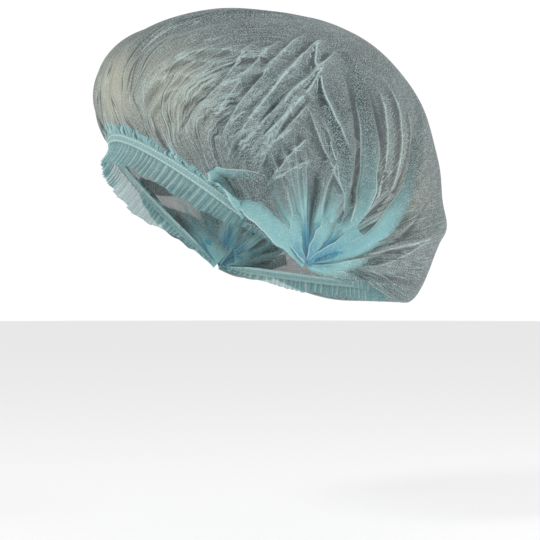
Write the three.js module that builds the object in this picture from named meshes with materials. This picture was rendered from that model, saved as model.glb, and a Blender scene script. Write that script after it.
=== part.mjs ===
// A disposable strip cap: one sheet of thin nonwoven cloth, gathered into a bunch over each
// ear, with a flat elastic sewn round its rim and a narrow frill below the elastic.
// It has the form that it takes on a head. Millimetres, +Z up, the wearer faces -Y, and +X is
// the wearer's left. The origin is the middle of the head opening.
import * as THREE from 'three';

// Where the cloth is drawn together over the left ear. The right side mirrors the left.
const ear = new THREE.Vector3(84, 4, -32);
const bunch = { core: 1, radius: 10, thickness: 3, pleats: 9, pleatHeight: 1.2 };

const head = new THREE.Vector3(0, 10, 20); // the middle of the hollow
const gap = 0.3; // between neighbouring pieces
const clothThickness = 1.2;
const elastic = { width: 5.2, thickness: 1, atEar: 0.3 };
const frontFrill = { height: 13, tucked: 2, from: 0.2, to: 0.6, flare: 5, pleats: 34, depth: 1.3 };
const backFrill = { height: 8, tucked: 2, from: 0.1, to: 0.8, flare: 0, pleats: 26, depth: 1 };

// The crown's cross-sections, fanned about the line through both ears, from the elastic on the
// forehead over the top to the elastic at the nape. Each rises from the ears to the midline.
//   back, up   its point on the midline;  half   half of its width
const sections = [
  { back: -104, up: 55, half: 80 },
  { back: -109, up: 68, half: 84 },
  { back: -112, up: 88, half: 90 },
  { back: -103, up: 112, half: 94 },
  { back: -77, up: 131, half: 97 },
  { back: -36, up: 143, half: 98 },
  { back: 0, up: 144, half: 98 },
  { back: 34, up: 141, half: 98 },
  { back: 65, up: 131, half: 98 },
  { back: 91, up: 113, half: 98 },
  { back: 114, up: 84, half: 98 },
  { back: 125, up: 50, half: 97 },
  { back: 129, up: 20, half: 95 },
  { back: 130, up: -5, half: 92 },
  { back: 120, up: -26, half: 88 },
  { back: 105, up: -41, half: 83 },
  { back: 93, up: -46, half: 78 },
];
const squareness = { rim: 2.0, top: 2.6 }; // superellipse powers, 2 being a plain ellipse
const dimpleReach = 0.3; // how far the sections are pulled in round the ears

// Where the cloth laps down over the elastic and hides it.
//   rim   0 the forehead's, 1 the nape's;  wide   share of the fan that the lap takes
//   near, full, to   shares of the way from ear to midline: it starts, is whole, and ends there
//   fade   the share that it ends over
//   drop, out   how far it hangs, and stands off the head
const laps = [
  { rim: 0, wide: 0.12, near: 0.1, full: 0.24, to: 0.44, fade: 0.14, drop: 8, out: 5 },
  { rim: 1, wide: 0.15, near: 0.02, full: 1, to: 1.4, fade: 0.1, drop: 24, out: 3 },
];

// The main folds, drawn in the side view and the same on both sides.
//   from, via, to   [back, up] of its two ends and of a point half way along
//   wide   half width;  high   height of a ridge, negative for a valley
const folds = [
  { from: [-86, 113], via: [-92, 96], to: [-96, 78], wide: 6, high: -1.5 },
  { from: [-30, 115], via: [-57, 84], to: [-83, 46], wide: 7, high: 3 },
  { from: [-12, 112], via: [-42, 80], to: [-70, 44], wide: 6, high: -2.5 },
  { from: [15, 124], via: [-27, 91], to: [-62, 43], wide: 7, high: 3.5 },
  { from: [29, 121], via: [-10, 94], to: [-42, 58], wide: 6, high: 3 },
  { from: [13, 100], via: [-20, 70], to: [-40, 46], wide: 6, high: 2.5 },
  { from: [24, 113], via: [15, 84], to: [30, 41], wide: 6, high: 2.5 },
  { from: [-27, 22], via: [-14, 32], to: [3, 50], wide: 6, high: 2.5 },
  { from: [-67, 32], via: [-52, 33], to: [-28, 26], wide: 5, high: -2.5 },
  { from: [42, 92], via: [41, 45], to: [26, -6], wide: 7, high: 3.5 },
  { from: [55, 62], via: [48, 22], to: [38, -6], wide: 5, high: -3 },
  { from: [96, 72], via: [71, 22], to: [18, -24], wide: 9, high: 5 },
  { from: [98, 12], via: [66, -11], to: [30, -24], wide: 6, high: -3.5 },
];

const colours = { cloth: 0xa9cdd0, frill: 0x86c3cb, elastic: 0xc2e6e6, bunch: 0x5aa9c4 };

const { clamp, lerp } = THREE.MathUtils;
const smooth = (from, to, x) => THREE.MathUtils.smoothstep(x, from, to);

const midline = new THREE.CatmullRomCurve3(
  sections.map((s) => new THREE.Vector3(s.half, s.back, s.up)),
  false,
  'catmullrom',
);

// How far a place on a section is from the ears: 0 at the bunch and 1 at the midline.
const reachAt = (u) => Math.abs(Math.sin(Math.PI * u));

// A point of the fan: u runs from the left ear, 0, to the right one, 1, and v round the fan.
function fanPoint(u, v) {
  const section = midline.getPoint(v);
  const power = 2 / lerp(squareness.rim, squareness.top, Math.sin(Math.PI * v));
  const cosine = Math.cos(Math.PI * u);
  const side = Math.sign(cosine);
  const start = bunch.radius / Math.hypot(section.y - ear.y, section.z - ear.z);
  const reach = start + (1 - start) * reachAt(u) ** power;
  const pull = Math.exp(-((reach / dimpleReach) ** 2)) * (section.x - ear.x);
  return new THREE.Vector3(
    side * (Math.abs(cosine) ** power * section.x - pull),
    ear.y + reach * (section.y - ear.y),
    ear.z + reach * (section.z - ear.z),
  );
}

// The rim's own directions at u: out of the head, and up the cloth away from its edge.
function rimFrame(u, v) {
  const inner = clamp(u, 0.01, 0.99);
  const along = fanPoint(inner + 0.002, v).sub(fanPoint(inner - 0.002, v)).normalize();
  const at = fanPoint(inner, v);
  const section = midline.getPoint(v);
  const out = new THREE.Vector3(at.x / section.x ** 2, at.y / section.y ** 2, 0).normalize();
  const up = new THREE.Vector3().crossVectors(out, along).normalize();
  return { out, up: up.z < 0 ? up.negate() : up };
}

// The elastic narrows towards the bunches, where it is gathered in.
const narrowing = (u) => lerp(elastic.atEar, 1, smooth(0, 0.3, reachAt(u)));

// A point of the rim's border, at a height above the middle of the elastic.
function rimPoint(u, v, height, out = 0) {
  const frame = rimFrame(u, v);
  return fanPoint(u, v).addScaledVector(frame.up, height).addScaledVector(frame.out, out);
}

// Each fold is an arc, kept as short straight stretches that a distance can be measured to.
const foldRuns = folds.map(({ from, via, to }) => {
  const ends = [new THREE.Vector2(...from), new THREE.Vector2(...to)];
  const middle = new THREE.Vector2(...via).multiplyScalar(2);
  const control = middle.sub(ends[0].clone().add(ends[1]).multiplyScalar(0.5));
  const points = new THREE.QuadraticBezierCurve(ends[0], control, ends[1]).getPoints(8);
  return points.map((p) => new THREE.Vector3(0, p.x, p.y));
});

// How far the folds lift the cloth at a point. They fade over a fifth of their length.
function foldHeight(point) {
  const onSide = new THREE.Vector3(0, point.y, point.z);
  const nearest = new THREE.Vector3();
  const run = new THREE.Line3();
  let height = 0;
  folds.forEach((fold, f) => {
    const stops = foldRuns[f];
    let distance = Infinity;
    let place = 0;
    for (let i = 1; i < stops.length; i++) {
      run.set(stops[i - 1], stops[i]);
      const t = run.closestPointToPointParameter(onSide, true);
      const away = run.at(t, nearest).distanceTo(onSide);
      if (away < distance) {
        distance = away;
        place = (i - 1 + t) / (stops.length - 1);
      }
    }
    const fade = smooth(0, 0.2, place) * (1 - smooth(0.8, 1, place));
    height += fold.high * fade * Math.exp(-((distance / fold.wide) ** 2));
  });
  return height;
}

function crownPoint(u, v) {
  const point = fanPoint(u, v);
  const reach = reachAt(u);
  const fromRim = Math.min(v, 1 - v);
  const lift = (elastic.width / 2) * narrowing(u) + clothThickness / 2 + gap;
  point.addScaledVector(rimFrame(u, Math.round(v)).up, lift * (1 - smooth(0, 0.2, fromRim)));
  for (const lap of laps) {
    const t = Math.abs(v - lap.rim) / lap.wide;
    const share = smooth(lap.near, lap.full, reach) * (1 - smooth(lap.to - lap.fade, lap.to, reach));
    const frame = rimFrame(u, lap.rim);
    if (t < 1) point.addScaledVector(frame.up, -lap.drop * share * Math.sin(Math.PI * t) ** 3);
    point.addScaledVector(frame.out, lap.out * share * smooth(0, 0.35, t) * (1 - smooth(0.8, 2.2, t)));
  }
  const out = point.clone().sub(head).normalize();
  return point.addScaledVector(out, foldHeight(point) * smooth(0.08, 0.16, fromRim));
}

// A closed wall whose middle is the surface at(u, v). Its thickness is square to the surface,
// or lies along a given direction.
function wall(at, cells, thickness, direction) {
  const geometry = new THREE.BoxGeometry(1, 1, 1, cells.along, cells.across, 1);
  const position = geometry.getAttribute('position');
  const step = 1e-4;
  for (let i = 0; i < position.count; i++) {
    const u = position.getX(i) + 0.5;
    const v = position.getY(i) + 0.5;
    const du = at(Math.min(1, u + step), v).sub(at(Math.max(0, u - step), v));
    const dv = at(u, Math.min(1, v + step)).sub(at(u, Math.max(0, v - step)));
    const normal = direction ?? new THREE.Vector3().crossVectors(du, dv).normalize();
    const point = at(u, v).addScaledVector(normal, position.getZ(i) * thickness);
    position.setXYZ(i, point.x, point.y, point.z);
  }
  return geometry;
}

const cap = new THREE.Group();

function add(name, geometry, colour) {
  const material = new THREE.MeshStandardMaterial({ color: colour, roughness: 0.85, metalness: 0 });
  const mesh = new THREE.Mesh(geometry, material);
  mesh.name = name;
  cap.add(mesh);
}

// The crown's rows lie closer together towards the rims.
const crowded = (t) => t - Math.sin(2 * Math.PI * t) / (4 * Math.PI);
const crownCells = { along: 28, across: 44 };
const crown = wall((u, t) => crownPoint(u, crowded(t)), crownCells, clothThickness);
add('crown', crown, colours.cloth);

// The band lies flat on the head, so both rims' bands are turned to face outwards.
function elasticBand(v) {
  const at = (u, w) => rimPoint(u, v, (w - 0.5) * elastic.width * narrowing(u));
  return wall(at, { along: 40, across: 1 }, elastic.thickness);
}
add('front_elastic', elasticBand(0), colours.elastic);
add('back_elastic', elasticBand(1), colours.elastic);

// A pleated strip below the elastic. It is tucked up where a lap covers it.
function frill(v, size) {
  const at = (u, w) => {
    const shown = smooth(size.from, size.to, reachAt(u));
    const top = -(elastic.width / 2) * narrowing(u) - gap;
    const fall = (1 - w) * lerp(size.tucked, size.height, shown);
    const pleat = size.depth * Math.sin(2 * Math.PI * size.pleats * u) * (1 - w) * shown;
    return rimPoint(u, v, top - fall, size.flare * shown * (1 - w) ** 2 + pleat);
  };
  return wall(at, { along: 4 * size.pleats, across: 2 }, clothThickness);
}
add('front_frill', frill(0, frontFrill), colours.frill);
add('back_frill', frill(1, backFrill), colours.frill);

// A bunch: the cloth's pleats drawn together at the ear point, as a pleated sector of a disc.
function bunchWall(side) {
  const at = (v, w) => {
    const section = midline.getPoint(v);
    const direction = new THREE.Vector2(section.y - ear.y, section.z - ear.z).normalize();
    const radius = lerp(bunch.core, bunch.radius - gap, w);
    const pleat = bunch.pleatHeight * w * Math.sin(2 * Math.PI * bunch.pleats * v);
    return new THREE.Vector3(
      side * (ear.x + pleat),
      ear.y + direction.x * radius,
      ear.z + direction.y * radius,
    );
  };
  const across = new THREE.Vector3(1, 0, 0);
  return wall(at, { along: 4 * bunch.pleats, across: 2 }, bunch.thickness, across);
}
add('left_gather', bunchWall(1), colours.bunch);
add('right_gather', bunchWall(-1), colours.bunch);

export default cap;
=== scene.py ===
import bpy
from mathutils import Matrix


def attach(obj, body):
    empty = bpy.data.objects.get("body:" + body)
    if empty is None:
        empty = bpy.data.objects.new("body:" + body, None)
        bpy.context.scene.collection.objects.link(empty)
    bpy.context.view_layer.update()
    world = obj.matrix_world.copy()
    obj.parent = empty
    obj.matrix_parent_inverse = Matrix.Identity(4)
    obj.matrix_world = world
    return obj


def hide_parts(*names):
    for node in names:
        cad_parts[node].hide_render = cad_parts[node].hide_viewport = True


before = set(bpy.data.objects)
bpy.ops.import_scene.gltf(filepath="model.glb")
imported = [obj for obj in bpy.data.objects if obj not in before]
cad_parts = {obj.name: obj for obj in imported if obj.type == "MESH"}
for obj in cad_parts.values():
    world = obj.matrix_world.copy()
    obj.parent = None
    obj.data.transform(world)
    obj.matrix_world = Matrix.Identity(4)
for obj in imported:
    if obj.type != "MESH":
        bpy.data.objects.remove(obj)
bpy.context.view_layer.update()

import math
import random

import bmesh
import bpy
import numpy as np
from mathutils import Matrix, Vector
from mathutils.bvhtree import BVHTree

mm = 0.001

# The cap as worn: the wearer faces -Y and the left ear is at +X.
# back, up: where a section crosses the midline. half: half of its width.
shape = {
    "sections": [
        # back, up, half
        (-104, 55, 80), (-109, 68, 84), (-112, 88, 90), (-103, 112, 94),
        (-77, 131, 97), (-36, 143, 98), (0, 144, 98), (34, 141, 98),
        (65, 131, 98), (91, 113, 98), (114, 84, 98), (125, 50, 97),
        (129, 20, 95), (130, -5, 92), (120, -26, 88), (105, -41, 83), (93, -46, 78),
    ],
    "ear": (84, 4, -32),
    "middle": (0, 10, 20),
    "bunchRadius": 4,  # of the small opening that the pleats are drawn round
    "rimPower": 2.0,  # 2 makes a section an ellipse, and more makes it boxier
    "topPower": 2.6,
    "dimpleReach": 0.3,  # how far from the ear the sides are drawn in
    "elasticHalf": 2.6,  # half of the elastic's width
    "elasticAtEar": 0.3,  # the share of it that is left at the ears
}
earX, earY, earZ = shape["ear"]


def smooth(low, high, x):
    t = np.clip((x - low) / (high - low), 0.0, 1.0)
    return t * t * (3 - 2 * t)


def splineThrough(rows, t):  # a uniform Catmull-Rom curve, t from 0 to 1 over the rows
    rows = np.asarray(rows, float)
    rows = np.vstack([2 * rows[0] - rows[1], rows, 2 * rows[-1] - rows[-2]])
    place = np.clip(t, 0, 1) * (len(rows) - 3)
    i = np.minimum(place.astype(int), len(rows) - 4)
    s = (place - i)[..., None]
    a, b, c, d = rows[i], rows[i + 1], rows[i + 2], rows[i + 3]
    square = 2 * a - 5 * b + 4 * c - d
    cube = 3 * b - a - 3 * c + d
    return 0.5 * (2 * b + (c - a) * s + square * s**2 + cube * s**3)


def reachAt(u):  # 0 at the ears and 1 over the middle
    return np.abs(np.sin(np.pi * u))


def fanPoint(u, v):  # u from the left ear to the right, v from the forehead over to the nape
    back, up, half = np.moveaxis(splineThrough(shape["sections"], v), -1, 0)
    power = 2 / (shape["rimPower"] + (shape["topPower"] - shape["rimPower"]) * np.sin(np.pi * v))
    cosine = np.cos(np.pi * u)
    start = shape["bunchRadius"] / np.hypot(back - earY, up - earZ)
    reach = start + (1 - start) * reachAt(u) ** power
    pull = np.exp(-((reach / shape["dimpleReach"]) ** 2)) * (half - earX)
    x = np.sign(cosine) * (np.abs(cosine) ** power * half - pull)
    return np.stack([x, earY + reach * (back - earY), earZ + reach * (up - earZ)], -1)


def unit(vectors):
    return vectors / np.maximum(np.linalg.norm(vectors, axis=-1, keepdims=True), 1e-9)


def outFromMiddle(points):
    return points - np.array(shape["middle"])


def rimFrame(u, v):  # out of the head, and up the cloth away from the edge
    inner = np.clip(u, 0.01, 0.99)
    along = unit(fanPoint(inner + 0.002, v) - fanPoint(inner - 0.002, v))
    at = fanPoint(inner, v)
    back, up, half = np.moveaxis(splineThrough(shape["sections"], v), -1, 0)
    out = unit(np.stack([at[..., 0] / half**2, at[..., 1] / back**2, 0 * back], -1))
    upward = unit(np.cross(out, along))
    upward *= np.sign(upward[..., 2:3])
    return out, upward


def narrowing(u):  # the elastic is drawn in towards the bunches
    return shape["elasticAtEar"] + (1 - shape["elasticAtEar"]) * smooth(0, 0.3, reachAt(u))


def makePiece(name, bm):
    mesh = bpy.data.meshes.new(name)
    bm.to_mesh(mesh)
    bm.free()
    mesh.polygons.foreach_set("use_smooth", [True] * len(mesh.polygons))
    piece = bpy.data.objects.new(name, mesh)
    bpy.context.scene.collection.objects.link(piece)
    return piece


def gridPiece(name, columns, rows):  # a flat grid over the unit square
    bm = bmesh.new()
    bmesh.ops.create_grid(bm, x_segments=columns, y_segments=rows, size=0.5, calc_uvs=True)
    return makePiece(name, bm)


def readPoints(piece):
    flat = np.zeros(len(piece.data.vertices) * 3)
    piece.data.vertices.foreach_get("co", flat)
    return flat.reshape(-1, 3)


def writePoints(piece, points):
    piece.data.vertices.foreach_set("co", (points * mm).astype(np.float32).ravel())
    piece.data.update()


def writeAttribute(piece, name, values):
    attribute = piece.data.attributes.new(name, "FLOAT", "POINT")
    attribute.data.foreach_set("value", np.asarray(values, np.float32).ravel())


def writePlaces(piece, places):  # where each point was on the flat cloth, in metres
    attribute = piece.data.attributes.new("flat", "FLOAT_VECTOR", "POINT")
    attribute.data.foreach_set("vector", (places * mm).astype(np.float32).ravel())


def wobble(along, seed, pitch):  # a smooth random walk from -1 to 1
    pick = np.random.default_rng(seed)
    knots = pick.uniform(-1, 1, int(along.max() / pitch) + 4)
    return splineThrough(knots[:, None], along / along.max())[..., 0]


# Folds drawn in the side view, from, via and to as (back, up), and the same on both sides.
# high: ridge height in mm, negative for a valley. near, beyond: how broad each flank is.
# The beyond flank is on the right hand going from the start to the end, seen from the left side.
crownLook = {
    "columns": 300,
    "rows": 316,
    "frontFolds": 30,
    "rearFolds": 22,
    "foldScale": 1.35,
    "wander": 0.25,  # mm that a fold strays from its drawn line
    "thin": [
        # centre, spread, much
        ((60, -84, 82), (60, 24, 30), 1.0),
        ((20, -114, 86), (40, 16, 40), 1.4),
        ((80, 70, 20), (40, 30, 40), 0.35),
    ],
    "foldSeed": 5,
    "bumpSeed": 4,
    "layerSeed": 8,
    "laps": [  # in front of the ears, and at the nape
        {
            "rim": 0, "wide": 0.12, "power": 3, "near": 0.1, "full": 0.24, "to": 0.44,
            "fade": 0.14, "drop": 8, "out": 5, "stands": (0, 0.35),
        },
        {
            "rim": 1, "wide": 0.17, "power": 2, "near": 0.02, "full": 0.85, "to": 1.4,
            "fade": 0.1, "drop": 21, "out": 5, "stands": (0.35, 0.95),
        },
    ],
    "folds": [
        # from, via, to, high, near, beyond
        ((-22, 121), (-52, 86), (-86, 43), 2.2, 5.5, 1.6),
        ((-36, 100), (-60, 72), (-80, 46), 1.2, 3.5, 1.4),
        ((-2, 122), (-38, 90), (-72, 44), 1.9, 4.0, 1.6),
        ((16, 126), (-24, 92), (-63, 40), 3.6, 5.5, 1.7),
        ((30, 124), (-12, 90), (-52, 42), 3.2, 5.0, 1.6),
        ((36, 116), (-2, 84), (-44, 46), 2.6, 4.0, 1.5),
        ((20, 102), (-6, 72), (-40, 42), 2.4, 4.0, 1.5),
        ((8, 78), (-14, 56), (-36, 36), 2.0, 3.6, 1.5),
        ((-4, 60), (-22, 48), (-38, 34), 1.4, 3.0, 1.4),
        ((26, 122), (12, 92), (34, 38), 3.0, 3.0, 2.0),
        ((2, 74), (12, 44), (30, 6), 1.6, 3.0, 2.0),
        ((12, 66), (20, 40), (33, 10), 1.3, 3.0, 2.0),
        ((2, 52), (-12, 40), (-27, 22), 2.2, 3.4, 1.7),
        ((6, 38), (-10, 32), (-27, 21), 1.6, 3.0, 1.6),
        ((58, 92), (58, 45), (42, 2), 1.8, 2.6, 2.0),
        ((66, 96), (68, 52), (52, 8), 1.8, 3.0, 2.2),
        ((80, 80), (72, 40), (56, 6), 1.6, 3.0, 2.4),
        ((104, 22), (78, -10), (50, -24), -2.4, 4.0, 3.0),
        ((91, 74), (58, 11), (15, -18), -2.6, 2.4, 3.0),
        ((34, 110), (38, 46), (27, -8), -2.6, 3.0, 2.6),
        ((47, 102), (56, 41), (37, -10), -1.8, 2.4, 2.4),
        ((100, -8), (72, -26), (40, -32), 1.3, 3.6, 2.4),
    ],
}


def quadratic(start, bend, end, t):
    t = t[..., None]
    return (1 - t) ** 2 * start + 2 * t * (1 - t) * bend + t**2 * end


def foldArc(start, via, end, steps=14):
    start, via, end = (np.array(p, float) for p in (start, via, end))
    return quadratic(start, 2 * via - (start + end) / 2, end, np.linspace(0, 1, steps + 1))


def distanceToArc(points, arc):  # signed distance, and the place along the arc from 0 to 1
    nearest = np.full(len(points), 1e9)
    place = np.zeros(len(points))
    for i in range(len(arc) - 1):
        a, b = arc[i], arc[i + 1]
        run = b - a
        t = np.clip(((points - a) @ run) / (run @ run), 0, 1)
        away = points - (a + t[:, None] * run)
        size = np.hypot(away[:, 0], away[:, 1])
        side = np.where(run[0] * away[:, 1] - run[1] * away[:, 0] > 0, 1.0, -1.0)
        closer = size < np.abs(nearest)
        nearest = np.where(closer, size * side, nearest)
        place = np.where(closer, (i + t) / (len(arc) - 1), place)
    return nearest, place


def smallFolds(pick):  # lesser folds: up from the forehead in front, and out of the ear behind
    folds = []
    for i in range(crownLook["frontFolds"]):
        t = (i + pick.random()) / crownLook["frontFolds"]
        start = np.array([-106 + 70 * t, 64 - 42 * t])
        run = np.array([34, 126]) - start
        end = start + run * pick.uniform(0.2, 0.75)
        lift = np.array([-run[1], run[0]]) / np.hypot(*run) * (22 * (1 - t) + pick.uniform(-3, 5))
        high = pick.uniform(0.5, 1.2)
        near, beyond = pick.uniform(1.4, 3.4), pick.uniform(0.9, 1.4)
        folds.append((start, (start + end) / 2 + lift, end, high, near, beyond))
    for i in range(crownLook["rearFolds"]):
        angle = math.radians(-8 + 126 * (i + pick.random()) / crownLook["rearFolds"])
        run = np.array([math.cos(angle), math.sin(angle)])
        first, last = pick.uniform(10, 30), pick.uniform(50, 105)
        bow = np.array([-run[1], run[0]]) * pick.uniform(-5, 5)
        ear = np.array([earY, earZ])
        start, via, end = ear + run * first, ear + run * (first + last) / 2 + bow, ear + run * last
        high = pick.uniform(0.4, 1.2) * pick.choice((1, 1, -1))
        near, beyond = pick.uniform(1.8, 4.0), pick.uniform(1.0, 2.0)
        folds.append((start, via, end, high, near, beyond))
    return folds


def foldHeights(points):  # ridge height, distance from the nearest main fold, and how firm that fold is
    height, firm = np.zeros(len(points)), np.zeros(len(points))
    away = np.full(len(points), 9.0)
    pick = random.Random(crownLook["foldSeed"])
    left = smooth(-12, 12, points[:, 0])
    everyFold = [(fold, 0 * left + 1) for fold in crownLook["folds"]]
    everyFold += [(fold, left) for fold in smallFolds(pick)]
    everyFold += [(fold, 1 - left) for fold in smallFolds(pick)]
    for (start, via, end, high, near, beyond), share in everyFold:
        arc = foldArc(start, via, end)
        arc[1:-1] += np.array([[pick.uniform(-1, 1) for _ in "yz"] for _ in arc[1:-1]]) * crownLook["wander"]
        low, top = arc.min(0) - 14, arc.max(0) + 14
        here = np.flatnonzero(((points[:, 1:3] > low) & (points[:, 1:3] < top)).all(1) & (share > 0))
        d, place = distanceToArc(points[here, 1:3], arc)
        fade = smooth(0, 0.25, place) * (1 - smooth(0.8, 1, place)) * share[here]
        ridge = np.exp(-(np.sqrt(d**2 + 0.3) - 0.5) / np.where(d > 0, near, beyond))
        dip = 0.35 * np.exp(-(((d + 2.2 * beyond) / (1.3 * beyond)) ** 2))
        height[here] += high * fade * (ridge - dip)
        # away and firm place a painted highlight line on each fold, painted light on its near side and a
        # painted shadow beside it
        strong = min(abs(high) / 2.4, 1.2) * fade * (1 - smooth(5, 8, np.abs(d)))
        nearer = (np.abs(d) < np.abs(away[here])) & (strong > 0.02)
        # a valley gets only the painted shadow, with no painted highlight line
        away[here] = np.where(nearer, d if high > 0 else -1.4 - np.abs(d), away[here])
        firm[here] = np.where(nearer, strong, firm[here])
    return height * crownLook["foldScale"], away, firm


def crownBase(u, v):
    points = fanPoint(u, v)
    fromRim = np.minimum(v, 1 - v)
    upward = rimFrame(u, np.round(v))[1]
    lift = shape["elasticHalf"] * narrowing(u)
    points = points + upward * (lift * (1 - smooth(0, 0.2, fromRim)))[..., None]
    for lap in crownLook["laps"]:  # where the cloth laps down over the elastic
        t = np.abs(v - lap["rim"]) / lap["wide"]
        reach = reachAt(u)
        share = smooth(lap["near"], lap["full"], reach)
        share = share * (1 - smooth(lap["to"] - lap["fade"], lap["to"], reach))
        out, upward = rimFrame(u, np.full_like(v, lap["rim"]))
        fall = np.sin(np.pi * np.minimum(t, 1)) ** lap["power"] * lap["drop"] * share
        stand = smooth(*lap["stands"], t) * (1 - smooth(0.9, 2.2, t)) * lap["out"] * share
        points = points - upward * fall[..., None] + out * stand[..., None]
    return points


relaxing = {
    "levels": (4, 2, 1),  # cells taken together, from coarse to fine
    "rounds": (90, 70, 60),
    "diagonal": 0.25,  # firmness of the diagonals, where a thread's is 1
    "spareAcross": 0.055,  # share of spare cloth across the folds in front
    "spareAlong": 0.06,  # and along them, behind
    "spareAtSides": -0.025,
    "spareLeast": 0.01,
    "spareAtRim": 0.16,
    "hold": 0.002,  # pull towards the draped form in each round
    "holdAtRim": 0.03,
    "holdAtSides": 0.014,
    "soft": 0.015,  # bending resistance, along the folds and across them
    "stiffer": 0.025,
    "bumps": 1.5,
}


def holdLength(a, b, rest, firmness):  # moves both ends towards their distance apart in the flat cloth
    between = b - a
    length = np.maximum(np.sqrt(np.einsum("...i,...i", between, between)), 1e-6)
    between *= (0.5 * firmness * (1 - rest / length))[..., None]
    a += between
    b -= between


def lengths(points, axis):
    return np.linalg.norm(np.diff(points, axis=axis), axis=-1)


def relaxCloth(points, goal, spare, hold, stiff, rounds):  # spare, stiff: each has (across, along)
    across, along = (1 + s for s in spare)
    restU = lengths(goal, 1) * (across[:, 1:] + across[:, :-1]) / 2
    restV = lengths(goal, 0) * (along[1:] + along[:-1]) / 2
    slack = (across[1:, 1:] + along[1:, 1:]) / 2
    restA = np.linalg.norm(goal[1:, 1:] - goal[:-1, :-1], axis=-1) * slack
    restB = np.linalg.norm(goal[1:, :-1] - goal[:-1, 1:], axis=-1) * slack
    high, wide = points.shape[:2]
    for _ in range(rounds):
        for i in (0, 1):
            n = (wide - i) // 2 * 2
            holdLength(points[:, i:i + n:2], points[:, i + 1:i + n:2], restU[:, i:i + n:2], 1.0)
            n = (high - i) // 2 * 2
            holdLength(points[i:i + n:2], points[i + 1:i + n:2], restV[i:i + n:2], 1.0)
            slant = relaxing["diagonal"]
            holdLength(points[i:i + n:2, :-1], points[i + 1:i + n:2, 1:], restA[i:i + n:2], slant)
            holdLength(points[i:i + n:2, 1:], points[i + 1:i + n:2, :-1], restB[i:i + n:2], slant)
        for axis in (1, 0):
            rows = np.moveaxis(points, axis, 0)
            firm = np.moveaxis(stiff[1 - axis], axis, 0)
            bend = rows[:-4] - 4 * rows[1:-3] + 6 * rows[2:-2] - 4 * rows[3:-1] + rows[4:]
            rows[2:-2] -= firm[2:-2, :, None] * bend
        points += hold[..., None] * (goal - points)
    return points


def finer(grid):  # twice the cells each way, on smooth curves through the points
    for axis in (0, 1):
        rows = np.moveaxis(grid, axis, 0)
        t = np.linspace(0, 1, 2 * len(rows) - 1)
        made = splineThrough(rows.reshape(len(rows), -1), t).reshape((len(t),) + rows.shape[1:])
        grid = np.moveaxis(made, 0, axis)
    return grid


def blurred(grid, axis, times):
    grid = np.moveaxis(grid.copy(), axis, 0)
    for _ in range(times):
        grid[1:-1] = (grid[:-2] + grid[1:-1] + grid[2:]) / 3
    return np.moveaxis(grid, 0, axis)


def fanShare(u, v):  # 1 where folds run out of the ears, 0 where they run up from the forehead
    return np.maximum(smooth(0.42, 0.6, v), 1 - smooth(0.15, 0.5, reachAt(u)))


def crumple(goal, u, v):  # spare cloth buckles into folds, from the broad ones down to the fine ones
    reach = reachAt(u)
    fromRim = np.minimum(v, 1 - v)
    fan = fanShare(u, v)
    calm = 1 - 0.75 * smooth(0.75, 1, reach) * smooth(0.3, 0.5, v)
    gathered = np.exp(-((fromRim / 0.03) ** 2))
    sides = smooth(0.1, 0.26, fromRim) * smooth(35, 65, np.abs(goal[..., 0]))
    look = relaxing
    across = (look["spareAcross"] + look["spareAtSides"] * sides) * (1 - fan) * calm
    across = across + look["spareLeast"] + look["spareAtRim"] * gathered
    spare = (across, look["spareLeast"] + look["spareAlong"] * fan * calm)
    edge = (v <= 0) | (v >= 1) | (u <= 0) | (u >= 1)
    pull = look["hold"] + look["holdAtRim"] * gathered + look["holdAtSides"] * sides * (1 - fan)
    hold = np.where(edge, 1.0, pull)
    stiff = (
        look["soft"] + look["stiffer"] * np.maximum(fan, sides),
        look["soft"] + look["stiffer"] - look["stiffer"] * fan,
    )
    first = look["levels"][0]
    pick = np.random.default_rng(crownLook["bumpSeed"])
    noise = pick.standard_normal(goal[::first, ::first, 0].shape)
    front, rear = blurred(noise, 0, 20), blurred(noise, 1, 20)
    share = fan[::first, ::first]
    bumps = look["bumps"] * blurred(front * (1 - share) + rear * share, 0, 1)
    moved = None
    for step, rounds in zip(look["levels"], look["rounds"]):
        coarse = goal[::step, ::step]
        if moved is None:
            moved = unit(outFromMiddle(coarse)) * bumps[..., None]
        else:
            moved = finer(moved)
        values = [[grid[::step, ::step] for grid in pair] for pair in (spare, stiff)]
        made = relaxCloth(coarse + moved, coarse, values[0], hold[::step, ::step], values[1], rounds)
        moved = made - coarse
    return goal + moved


def creasing(points):  # how sharply the cloth turns: above 0 on ridges, below 0 in valleys
    across, along = np.gradient(points, axis=1), np.gradient(points, axis=0)
    normal = unit(np.cross(across, along))
    total = np.zeros(points.shape[:2])
    for axis, run in ((1, across), (0, along)):
        turn = np.gradient(np.gradient(points, axis=axis), axis=axis)
        size = np.maximum(np.einsum("...i,...i", run, run), 0.3)
        total -= np.einsum("...i,...i", turn, normal) / size
    outward = np.einsum("...i,...i", normal, outFromMiddle(points))
    return total * np.sign(outward)


def writeFlat(piece, points):  # the flat place of each point, from lengths along the cloth
    across = np.cumsum(np.pad(lengths(points, 1), ((0, 0), (1, 0))), axis=1)
    across -= across[:, across.shape[1] // 2, None]
    along = np.cumsum(np.pad(lengths(points, 0), ((1, 0), (0, 0))).mean(1))
    writePlaces(piece, np.stack([across, np.broadcast_to(along[:, None], across.shape), 0 * across], -1))


layering = {  # layers more than one: how many, and how far they reach
    "bunch": (1.9, 0.1),
    "streaks": (1.1, 0.24),
    "streakCount": 60,
    "forehead": (1.1, (0.026, 0.05)),
    "ragged": 0.012,
    "raggedCount": 160,
    "nape": (0.35, 0.1),
}


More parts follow.
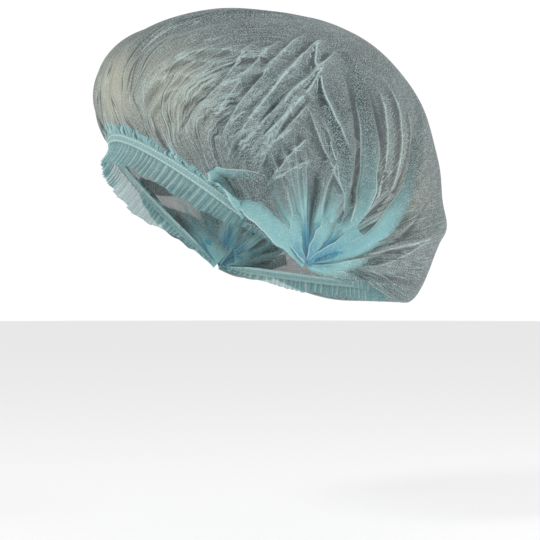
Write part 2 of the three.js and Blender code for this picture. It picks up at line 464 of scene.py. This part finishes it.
def layersOn(u, v, grain):  # how many more layers there are than one, at each point
    reach = reachAt(u)
    streak = splineThrough(grain.uniform(0, 1, (layering["streakCount"], 1)), v)[..., 0]
    ragged = splineThrough(grain.uniform(-1, 1, (layering["raggedCount"], 1)), u)[..., 0]
    much, far = layering["bunch"]
    layers = much * np.exp(-((reach / far) ** 2))
    much, far = layering["streaks"]
    layers = layers + much * streak * np.exp(-((reach / far) ** 2))
    much, limits = layering["forehead"]
    layers = layers + much * (1 - smooth(*limits, v + layering["ragged"] * ragged))
    much, far = layering["nape"]
    return layers + much * np.exp(-(((1 - v) / far) ** 2))


def thinOn(points):  # where the cloth is drawn tight and lets most through
    thin = np.zeros(points.shape[:2])
    for centre, spread, much in crownLook["thin"]:
        away = np.linalg.norm((points - np.array(centre)) / np.array(spread), axis=-1)
        thin = np.maximum(thin, much * np.exp(-(away**2)))
    return thin


def buildCrown():
    piece = gridPiece("crown_cloth", crownLook["columns"], crownLook["rows"])
    flat = readPoints(piece)
    size = (crownLook["rows"] + 1, crownLook["columns"] + 1)
    u = flat[:, 0].reshape(size) + 0.5
    t = flat[:, 1].reshape(size) + 0.5
    v = t - np.sin(2 * np.pi * t) / (4 * np.pi)
    points = crownBase(u, v)
    outward = unit(outFromMiddle(points))
    height, away, firm = (values.reshape(size) for values in foldHeights(points.reshape(-1, 3)))
    goal = points + outward * height[..., None]
    points = crumple(goal, u, v)
    crease = creasing(points)
    reach = reachAt(u)
    fan = fanShare(u, v)
    writePoints(piece, points.reshape(-1, 3))
    # how sharply the cloth turns, which the material uses for a painted highlight on ridges and painted
    # shade in hollows
    writeAttribute(piece, "crestShading", crease)
    writeAttribute(piece, "away", away)
    writeAttribute(piece, "firm", firm)
    writeAttribute(piece, "layers", layersOn(u, v, np.random.default_rng(crownLook["layerSeed"])))
    writeAttribute(piece, "thin", thinOn(points))
    # where the material paints crease highlights and shadows: running up from the forehead, and out of the
    # ears
    writeAttribute(piece, "gathers", (1 - fan) * (1 - 0.8 * smooth(0.1, 0.45, v)))
    behind = 0.3 + 0.7 * smooth(0.5, 0.7, v)
    writeAttribute(piece, "fan", fan * behind * (1 - 0.75 * smooth(0.3, 0.9, reach)))
    writeFlat(piece, points)
    return piece


def finishPiece(piece, material, slot, *nodes):
    piece.data.materials.append(material)
    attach(piece, "root")
    if nodes:
        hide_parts(*nodes)


class Wire:  # a socket in arithmetic: each operator adds a Math node
    def __init__(self, recipe, socket):
        self.recipe = recipe
        self.socket = socket

    def __add__(self, other):
        return self.recipe.maths("ADD", self, other)

    __radd__ = __add__

    def __sub__(self, other):
        return self.recipe.maths("SUBTRACT", self, other)

    def __rsub__(self, other):
        return self.recipe.maths("SUBTRACT", other, self)

    def __mul__(self, other):
        return self.recipe.maths("MULTIPLY", self, other)

    __rmul__ = __mul__


class Recipe:  # one material and its nodes
    def __init__(self, name, settings):
        self.material = bpy.data.materials.new(name)
        self.material.use_nodes = True
        self.tree = self.material.node_tree
        self.shader = self.tree.nodes["Principled BSDF"]
        for socket, value in settings.items():
            self.shader.inputs[socket].default_value = value

    def add(self, kind, settings, sockets, out=0):
        node = self.tree.nodes.new("ShaderNode" + kind)
        for name, value in settings.items():
            setattr(node, name, value)
        for name, value in sockets.items():
            self.put(node.inputs[name], value)
        return Wire(self, node.outputs[out])

    def put(self, socket, value):
        if isinstance(value, Wire):
            self.tree.links.new(value.socket, socket)
        else:
            socket.default_value = value

    def maths(self, operation, first, second):
        return self.add("Math", {"operation": operation}, {0: first, 1: second})

    def size(self, value):  # without its sign
        return self.maths("ABSOLUTE", value, 0.0)

    def noise(self, place, scale, detail):
        sockets = {"Vector": place, "Scale": scale, "Detail": detail}
        return self.add("TexNoise", {"noise_dimensions": "2D"}, sockets)

    def stretched(self, place, stretch, detail):  # noise with its own scale along each axis
        long = self.add("VectorMath", {"operation": "MULTIPLY"}, {0: place, 1: stretch})
        return self.noise(long, 1.0, detail)

    def mix(self, share, first, second):
        sockets = {"Factor": share, 6: first, 7: second}
        return self.add("Mix", {"data_type": "RGBA"}, sockets, out=2)

    def band(self, value, low, high):  # 0 below low, 1 above high
        sockets = {"Value": value, "From Min": low, "From Max": high}
        return self.add("MapRange", {"interpolation_type": "SMOOTHSTEP"}, sockets)

    def between(self, value, start, end):  # rises over start and falls over end
        return self.band(value, *start) * (1 - self.band(value, *end))

    def attribute(self, name):
        return self.add("Attribute", {"attribute_name": name}, {}, out=2)

    def finish(self, **results):
        for name, value in results.items():
            self.put(self.shader.inputs[name.replace("_", " ")], value)
        return self.material


def colour(red, green, blue):  # from the usual 0 to 255 values
    shares = [value / 255 for value in (red, green, blue)]
    return tuple(((c + 0.055) / 1.055) ** 2.4 if c > 0.04 else c / 12.92 for c in shares) + (1,)


nonwoven = {
    "single": colour(36, 52, 58),
    # lighter patches at random, and also painted light on the lit side of each fold
    "light": colour(74, 90, 94),
    "thin": colour(206, 199, 170),
    "fibre": colour(196, 216, 213),
    "double": colour(136, 194, 198),
    "bunched": colour(50, 150, 180),
    # the most layers of cloth, darkened also as painted shade in the bunched pockets
    "deepLayersAndShade": colour(8, 74, 104),
    # a painted highlight on fold crests and crease lines
    "crestShading": colour(208, 234, 232),
    # painted shade in valleys, in hollows and beside folds
    "valleyShade": colour(24, 42, 50),
    # waves to a metre of cloth
    "speckle": 1250,
    "patches": 24,
    "strands": (110, 1300, 1),
    "strandAngles": (0.3, 1.25, 2.2, 2.85),
    "creasesUp": (300, 16, 1),
    "creasesOut": (14, 240, 1),
    # mm from the line of a fold: where each starts and is full, and where it ends
    "line": (0.1, 0.75),
    "shadow": ((0.5, 1.4), (1.8, 5.0)),
    "lit": ((0.0, 0.8), (1.0, 5.0)),
    # how much of each shows
    "litShare": 0.14,
    "hollowShadeShare": 0.45,
    "creaseHighlightShare": 0.6,
    "thinShare": 0.8,
    "valleyShadeShare": 0.8,
    "crestHighlightShare": 0.75,
    "cover": 0.72,
    "roughness": 0.85,
    "sheen": 0.25,
}


def fibres(recipe, place):  # fine strands that run every way, from 0 to 1
    total = 0
    for i, angle in enumerate(nonwoven["strandAngles"]):
        turn = {"Vector": place, "Rotation": (0, 0, angle), "Location": (i, 0, 0)}
        wave = recipe.stretched(recipe.add("Mapping", {}, turn), nonwoven["strands"], 1.0)
        total = recipe.band(wave, 0.60, 0.78) + total
    return recipe.maths("MINIMUM", total, 1.0)


def fineCreases(recipe, place, stretch, share):  # painted highlights on thin creases, each with a painted shadow on one side; the bump gives them a little relief too
    off = recipe.stretched(place, stretch, 1.5) - 0.5
    ridge = 1 - recipe.band(recipe.size(off), 0.0, 0.035)
    shade = recipe.between(off, (0.02, 0.05), (0.06, 0.12))
    return ridge * share, shade * share


def foldLines(recipe, place, turnHighlight):  # painted highlights on ridges, painted shade in hollows, and painted light on the lit side of each fold
    upHighlight, upShade = fineCreases(recipe, place, nonwoven["creasesUp"], recipe.attribute("gathers"))
    outHighlight, outShade = fineCreases(recipe, place, nonwoven["creasesOut"], recipe.attribute("fan"))
    away, firm = recipe.attribute("away"), recipe.attribute("firm")
    # a painted highlight line along each main fold or pleat edge, and a painted shadow beside it
    line = (1 - recipe.band(recipe.size(away), *nonwoven["line"])) * firm
    shadow = recipe.between(0 - away, *nonwoven["shadow"]) * firm
    lit = recipe.between(away, *nonwoven["lit"]) * firm
    crestShading = recipe.attribute("crestShading")
    # a painted highlight where the cloth turns outward
    turnedHighlight = recipe.band(crestShading, 0.15, 0.6) * turnHighlight
    # painted shade where the cloth turns inward
    hollowShade = recipe.band(0 - crestShading, 0.05, 0.4) * nonwoven["hollowShadeShare"]
    # painted highlights and painted shadows of fine creases, which exist only in the colour and the bump
    creaseHighlights = upHighlight + outHighlight * nonwoven["creaseHighlightShare"]
    ridgeHighlights = recipe.maths("MINIMUM", creaseHighlights + line + turnedHighlight + lit * nonwoven["litShare"], 1.0)
    # all painted shade: crease shadows, fold shadows and hollows
    shades = recipe.maths("MINIMUM", upShade + outShade * 0.7 + shadow + hollowShade, 1.0)
    return ridgeHighlights, shades, lit


def clothMaterial(name, coverMore=0.0, turnHighlight=0.2):
    finish = {"Roughness": nonwoven["roughness"], "Sheen Weight": nonwoven["sheen"], "Sheen Roughness": 0.5}
    recipe = Recipe(name, finish)
    place = recipe.add("Attribute", {"attribute_name": "flat"}, {}, out=1)
    strands = fibres(recipe, place)
    patch = recipe.noise(place, nonwoven["patches"], 3.0)
    dense = recipe.band(recipe.noise(place, nonwoven["speckle"], 2.0), 0.48, 0.62)
    layers, thin = recipe.attribute("layers"), recipe.attribute("thin")
    doubled = recipe.band(layers, 0.0, 1.0)
    ridgeHighlights, shades, lit = foldLines(recipe, place, turnHighlight)
    # lighter in random patches, and painted light on the lit side of each fold
    light = recipe.band(patch, 0.35, 0.65) + lit * 0.5
    ground = recipe.mix(light, nonwoven["single"], nonwoven["light"])
    for share, colourName in (
        (thin * nonwoven["thinShare"], "thin"),
        (doubled, "double"),
        (recipe.band(layers, 1.0, 2.0), "bunched"),
        (recipe.band(layers, 2.0, 3.0), "deepLayersAndShade"),
        (strands * 0.25 + dense * (0.55 - 0.38 * doubled), "fibre"),
        (shades * nonwoven["valleyShadeShare"], "valleyShade"),
        (ridgeHighlights * nonwoven["crestHighlightShare"], "crestShading"),
    ):
        ground = recipe.mix(share, ground, nonwoven[colourName])
    cover = nonwoven["cover"] + dense * 0.14 + strands * 0.1 + ridgeHighlights * 0.1
    cover = cover + doubled * 0.2 + coverMore - thin * 0.08
    relief = strands * 0.4 + dense * 0.3 + ridgeHighlights
    bump = recipe.add("Bump", {}, {"Strength": 0.5, "Distance": 0.0003, "Height": relief})
    return recipe.finish(Base_Color=ground, Alpha=recipe.maths("MINIMUM", cover, 1.0), Normal=bump)


cloth = clothMaterial("cloth")
crown = buildCrown()
finishPiece(crown, cloth, "cloth", "crown")
print("crown made")


# Pleats that lie folded over the crown, drawn in the side view as (back, up).
# half: half of the width at the start, middle and end. layers: more than one, at the start and end.
# lift: how far it stands off. crisp: the side of its free edge, or 0 for both.
pleatLook = {
    "long": 70,
    "wide": 14,
    "ragged": 0.1,
    "crownSeed": 51,
    "bunchSeed": 71,
    "crown": [
        # from, via, to, half, layers, lift, crisp
        ((16, -26), (69, 4), (97, 86), (6.0, 8.6, 2.6), (1.6, -0.3), 2.2, 1),
        ((32, -10), (47, 46), (38, 112), (3.6, 6.8, 3.5), (0.8, -0.3), 1.6, 0),
        ((32, 0), (25, 45), (12, 94), (3.4, 8.0, 4.0), (0.5, -0.3), 1.0, 1),
        ((-61, 30), (-42, 25), (-16, 23), (3.0, 4.4, 2.6), (0.9, -0.3), 1.5, 1),
        ((-61, 31), (-50, 16), (-39, 1), (3.0, 5.0, 5.4), (0.8, 0.8), 1.7, -1),
        ((-45, 10), (-20, -5), (6, -27), (5.0, 10, 9.0), (0.8, 1.1), 2.0, -1),
    ],
    "bunch": [
        ((3, -30), (-4, -14), (1, 6), (2.0, 6.5, 7.0), (2.3, 0.3), 2.2, 1),
        ((4, -30), (13, -14), (26, 2), (1.8, 6.0, 7.0), (2.2, 0.2), 2.0, 1),
        ((3, -31), (22, -23), (52, -8), (2.2, 6.5, 8.5), (2.4, 0.8), 2.8, 1),
        ((4, -32), (26, -34), (58, -27), (1.4, 3.8, 4.6), (1.8, 0.2), 2.6, 1),
        ((4, -33), (22, -38), (46, -40), (1.4, 2.8, 2.6), (1.2, 0.2), 1.9, 1),
        ((7, -29), (19, -26), (36, -19), (0.7, 1.7, 0.4), (2.8, 1.8), 4.0, 0),
    ],
}


def crownTree():
    bm = bmesh.new()
    bm.from_mesh(crown.data)
    tree = BVHTree.FromBMesh(bm)
    bm.free()
    return tree


def sideOf(tree, side, places):  # how far out the crown is, in mm, at places in the side view
    far = []
    for back, up in places.reshape(-1, 2) * mm:
        hit = tree.ray_cast(Vector((0.2 * side, back, up)), Vector((-side, 0, 0)))[0]
        if hit is None or hit.x * side < 0.03:
            hit = tree.find_nearest(Vector((0.09 * side, back, up)))[0]
        far.append(hit.x * side / mm)
    return np.array(far).reshape(places.shape[:-1])


def layPleats(name, side, rows, tree, seed):
    bm = bmesh.new()
    for _ in rows:
        bmesh.ops.create_grid(bm, x_segments=pleatLook["long"], y_segments=pleatLook["wide"], size=0.5)
    piece = makePiece(name, bm)
    size = (len(rows), pleatLook["wide"] + 1, pleatLook["long"] + 1)
    flat = readPoints(piece).reshape(size + (3,))
    points, place = np.zeros(size + (3,)), np.zeros(size + (3,))
    layers, away, firm = np.zeros(size), np.zeros(size), np.zeros(size)
    for i, (start, via, end, half, more, lift, crisp) in enumerate(rows):
        t, s = flat[i, ..., 0] + 0.5, 2 * flat[i, ..., 1]
        start, via, end = (np.array(p, float) for p in (start, via, end))
        bend = 2 * via - (start + end) / 2
        middle = quadratic(start, bend, end, t)
        run = unit((1 - t)[..., None] * (bend - start) + t[..., None] * (end - bend))
        wave = wobble(t * 60, seed + i, 7.0) * s + 0.5 * wobble(t * 60, seed + 20 + i, 11.0)
        wide = splineThrough(np.array(half)[:, None], t)[..., 0]
        across = wide * (s + pleatLook["ragged"] * wave)
        lies = middle + np.stack([-run[..., 1], run[..., 0]], -1) * across[..., None]
        out = blurred(blurred(sideOf(tree, side, lies), 0, 3), 1, 3)
        ends = smooth(0, 0.08, t) * (1 - smooth(0.5, 1, t))
        ripple = 0.4 * wobble(t * 60 + 3 * s, seed + 40 + i, 5.0) * (1 - s**2)
        rise = smooth(-1, 0.3, s * crisp) if crisp else 1 + 0 * s  # one edge may melt into the cloth
        out += (lift + 0.7) * rise * (1 - 0.6 * s**6) * ends - 0.7 + ripple
        points[i] = np.concatenate([side * out[..., None], lies], -1)
        long = lengths(quadratic(start, bend, end, t[0]), 0).sum()
        place[i] = np.stack([across + 40 * i, t * long + 100 * side, 0 * t], -1)
        # how far in from the edges: the material paints a highlight line along them and light across the
        # pleat, where firm
        away[i] = (1 - np.abs(s)) * wide - 0.3
        firm[i] = 0.9 * ends * rise * (more[0] < 2.5)
        layers[i] = (more[0] + (more[1] - more[0]) * t) * (0.4 + 0.6 * rise)
    writePoints(piece, points.reshape(-1, 3))
    if side > 0:
        bm = bmesh.new()
        bm.from_mesh(piece.data)
        bmesh.ops.reverse_faces(bm, faces=bm.faces)
        bm.to_mesh(piece.data)
        bm.free()
    for word, values in (("layers", layers), ("away", away), ("firm", firm)):
        writeAttribute(piece, word, values)
    writePlaces(piece, place)
    return piece


tree = crownTree()
for side, word in ((1, "left"), (-1, "right")):
    made = layPleats(word + "_pleats", side, pleatLook["crown"], tree, pleatLook["crownSeed"] + side)
    finishPiece(made, cloth, "cloth")
    bunch = layPleats(word + "_bunch", side, pleatLook["bunch"], tree, pleatLook["bunchSeed"] + side)
    finishPiece(bunch, cloth, "gathered_cloth", word + "_gather")
print("pleats made")


def rimStrip(name, v, columns, rows, shapeAt):  # a strip along one rim: shapeAt gives height and out
    piece = gridPiece(name, columns, rows)
    flat = readPoints(piece)
    size = (rows + 1, columns + 1)
    u = flat[:, 0].reshape(size) * 0.985 + 0.5
    w = flat[:, 1].reshape(size) + 0.5
    rim = np.full(size, float(v))
    base = fanPoint(u, rim)
    out, upward = rimFrame(u, rim)
    along = np.cumsum(np.pad(lengths(base, 1), ((0, 0), (1, 0))), axis=1)
    height, stand, slide, layers, crestShading = shapeAt(u, w, along)
    points = base + upward * height[..., None] + out * stand[..., None]
    points += unit(np.gradient(base, axis=1)) * slide[..., None]
    writePoints(piece, points.reshape(-1, 3))
    writeAttribute(piece, "layers", np.broadcast_to(layers, size))
    writeAttribute(piece, "crestShading", np.broadcast_to(crestShading, size))
    writeFlat(piece, points)
    return piece


frontFrill = {
    "height": 13,
    "tucked": 2,  # its height at the ears
    "from": 0.2,  # where it comes out from under the elastic, and where it is at its height
    "to": 0.6,
    "flare": 5,
    "pitch": 4.6,
    "depth": 1.5,
    "ragged": 1.4,
    "columns": 1300,
    "rows": 14,
    "seed": 11,
}
backFrill = {
    "height": 8,
    "tucked": 2,
    "from": 0.1,
    "to": 0.8,
    "flare": 0.5,
    "pitch": 4.6,
    "depth": 1.1,
    "ragged": 1.0,
    "columns": 1000,
    "rows": 10,
    "seed": 12,
}


def buildFrill(name, v, look):
    def shapeAt(u, w, along):
        reach = reachAt(u)
        shown = smooth(look["from"], look["to"], reach)
        fall = 1 - w
        wander = wobble(along, look["seed"], 9.0)
        phase = (along + 2.2 * wander) / look["pitch"]
        tip = 1 - 2 * np.abs((phase % 1.0) - 0.5) * 2  # a zigzag from -1 to 1
        size = 1 + 0.45 * wobble(along, look["seed"] + 1, 5.0)
        pleat = look["depth"] * tip * size * (0.35 + 0.65 * fall) * (0.3 + 0.7 * shown)
        hang = look["tucked"] + (look["height"] - look["tucked"]) * shown
        scallop = 0.35 * np.cos(2 * np.pi * phase) + wobble(along, look["seed"] + 2, 7.0)
        hang = hang + look["ragged"] * shown * scallop * fall
        top = -shape["elasticHalf"] * narrowing(u) - 0.1
        flare = look["flare"] * shown * fall**2 * (1 + 0.3 * wobble(along, look["seed"] + 3, 30.0))
        lean = 1.2 * wobble(along, look["seed"] + 4, 7.0) * fall
        layers = 0.7 + 0.25 * size * (tip < 0)
        # a painted highlight on the pleat tips, and painted shade in the pleat hollows and just under the
        # elastic
        crestShading = 0.75 * smooth(0.1, 1, tip * size) - 0.35 * smooth(0.2, 0.9, -tip)
        crestShading = crestShading - 0.3 * np.exp(-((fall / 0.2) ** 2))
        return top - fall * hang, flare + pleat, lean, layers, crestShading

    return rimStrip(name, v, look["columns"], look["rows"], shapeAt)


frillCloth = clothMaterial("frill_cloth", coverMore=-0.25, turnHighlight=0.9)
elasticCloth = clothMaterial("elastic_cloth", coverMore=-0.12, turnHighlight=0.9)
frontFrillPiece = buildFrill("front_frill_cloth", 0, frontFrill)
finishPiece(frontFrillPiece, frillCloth, "frill", "front_frill")
backFrillPiece = buildFrill("back_frill_cloth", 1, backFrill)
finishPiece(backFrillPiece, frillCloth, "frill", "back_frill")
print("frills made")


stitch = {
    "pitch": 2.3,
    "length": 2.2,
    "radius": 0.42,
    "stand": 0.8,
    "offset": 1.75,  # of each row from the elastic's middle
    "sides": 6,
    "rings": 4,
    "samples": 2400,
}
band = {
    "ripplePitch": 2.3,
    "ripple": 0.22,
    "stand": 0.55,
    "columns": 900,
    "rows": 8,
    "seed": 3,
}


def buildBand(name, v):
    def shapeAt(u, w, along):
        across = 2 * w - 1
        half = shape["elasticHalf"] * narrowing(u)
        strayed = along + 0.5 * wobble(along, band["seed"], 5.0)
        wave = np.cos(2 * np.pi * strayed / band["ripplePitch"])
        rows = np.exp(-(((np.abs(across) * half - stitch["offset"]) / 0.5) ** 2))  # drawn down there
        stand = band["stand"] * (1 - across**4) + band["ripple"] * wave * (1 - rows) - 0.25 * rows
        layers = 0.9 - 0.25 * wave * (1 - rows)
        # a painted highlight over the band, stronger along the stitch rows
        return across * (half + 0.35), stand, 0 * u, layers, 0.3 + 0.5 * rows

    return rimStrip(name, v, band["columns"], band["rows"], shapeAt)


frontBand = buildBand("front_elastic_band", 0)
finishPiece(frontBand, elasticCloth, "elastic", "front_elastic")
backBand = buildBand("back_elastic_band", 1)
finishPiece(backBand, elasticCloth, "elastic", "back_elastic")
print("elastics made")


def buildStitches(name, v):
    t = np.linspace(0.012, 0.988, stitch["samples"])
    rim = np.full_like(t, float(v))
    path = fanPoint(t, rim)
    out, upward = rimFrame(t, rim)
    along = np.concatenate([[0], np.cumsum(np.linalg.norm(np.diff(path, axis=0), axis=1))])
    bm = bmesh.new()
    thick, long = stitch["radius"] * mm, stitch["length"] / 2 * mm
    scale = Matrix.Diagonal((thick, thick, long, 1))
    for offset in (-stitch["offset"], stitch["offset"]):
        for place in np.arange(1, along[-1] - 1, stitch["pitch"]):
            i = int(np.searchsorted(along, place))
            ahead = Vector(unit(path[min(i + 4, len(t) - 1)] - path[max(i - 4, 0)]))
            size = float(narrowing(t[i]))
            centre = Vector(path[i] + upward[i] * offset * size + out[i] * stitch["stand"])
            turn = ahead.to_track_quat("Z", "Y").to_matrix().to_4x4()
            turn.translation = centre * mm
            bmesh.ops.create_uvsphere(
                bm, u_segments=stitch["sides"], v_segments=stitch["rings"], radius=1, matrix=turn @ scale
            )
    return makePiece(name, bm)


thread = {
    "shaded": colour(206, 234, 232),
    "bright": colour(238, 250, 248),
    "glint": 4500.0,
    "roughness": 0.6,
    "sheen": 0.2,
}


def threadMaterial():
    recipe = Recipe("thread", {"Roughness": thread["roughness"], "Sheen Weight": thread["sheen"]})
    place = recipe.add("TexCoord", {}, {}, out="Object")
    glint = recipe.add("TexNoise", {}, {"Vector": place, "Scale": thread["glint"]})
    ground = recipe.mix(recipe.band(glint, 0.35, 0.65), thread["shaded"], thread["bright"])
    return recipe.finish(Base_Color=ground)


stitchThread = threadMaterial()
for name, v in (("front_stitches", 0), ("back_stitches", 1)):
    finishPiece(buildStitches(name, v), stitchThread, "elastic")
print("stitches made")


view = {
    "azimuth": math.radians(68),
    "target": (0, 0.011, -0.035),
    "distance": 1.3,
    "framed": 0.38028,  # metres across the picture at the target
    "sensor": 36,
}
studio = {
    "lights": [
        # name, place, size, power
        ("key", (0.6, -1.1, 1.1), 0.35, 6),
        ("rear", (1.0, 1.0, 0.5), 0.6, 5.5),
    ],
    "aim": (0, 0, 0.04),
    "floor": -0.22,  # its height
    "reach": 6,
    "paint": (0.9, 0.9, 0.9, 1),
    "glow": 0.4,
    "dome": 5.5,
    "white": (1, 1, 1, 1),
    "ambient": 0.44,
}


def makeCamera():
    target = Vector(view["target"])
    away = Vector((math.sin(view["azimuth"]), -math.cos(view["azimuth"]), 0))
    data = bpy.data.cameras.new("camera")
    data.sensor_width = view["sensor"]
    data.lens = view["sensor"] * view["distance"] / view["framed"]
    camera = bpy.data.objects.new("camera", data)
    bpy.context.scene.collection.objects.link(camera)
    camera.location = target + away * view["distance"]
    camera.rotation_euler = (-away).to_track_quat("-Z", "Y").to_euler()
    bpy.context.scene.camera = camera


def makeLight(name, place, size, power):
    data = bpy.data.lights.new(name, "AREA")
    data.size = size
    data.energy = power
    light = bpy.data.objects.new(name, data)
    bpy.context.scene.collection.objects.link(light)
    light.location = place
    light.rotation_euler = (Vector(studio["aim"]) - Vector(place)).to_track_quat("-Z", "Y").to_euler()


def makeStage():
    bm = bmesh.new()
    bmesh.ops.create_grid(bm, x_segments=1, y_segments=1, size=studio["reach"])
    bmesh.ops.translate(bm, verts=bm.verts, vec=(0, 0, studio["floor"]))
    floor = makePiece("floor", bm)
    paint = {
        "Base Color": studio["paint"],
        "Roughness": 0.9,
        "Emission Color": studio["white"],
        "Emission Strength": studio["glow"],
    }
    floor.data.materials.append(Recipe("floor", paint).material)
    bm = bmesh.new()
    bmesh.ops.create_uvsphere(bm, u_segments=48, v_segments=24, radius=studio["dome"])
    dome = makePiece("backdrop", bm)
    glow = {"Base Color": (0, 0, 0, 1), "Emission Color": studio["white"], "Emission Strength": 1.0}
    dome.data.materials.append(Recipe("backdrop", glow).material)
    dome.visible_diffuse = False  # it is seen, but lights nothing
    dome.visible_glossy = False
    dome.visible_shadow = False
    world = bpy.data.worlds.new("world")
    world.use_nodes = True
    background = world.node_tree.nodes["Background"]
    background.inputs["Color"].default_value = studio["white"]
    background.inputs["Strength"].default_value = studio["ambient"]
    bpy.context.scene.world = world
    bpy.context.scene.view_settings.view_transform = "Standard"


makeCamera()
for light in studio["lights"]:
    makeLight(*light)
makeStage()
print("camera, lights and stage made")
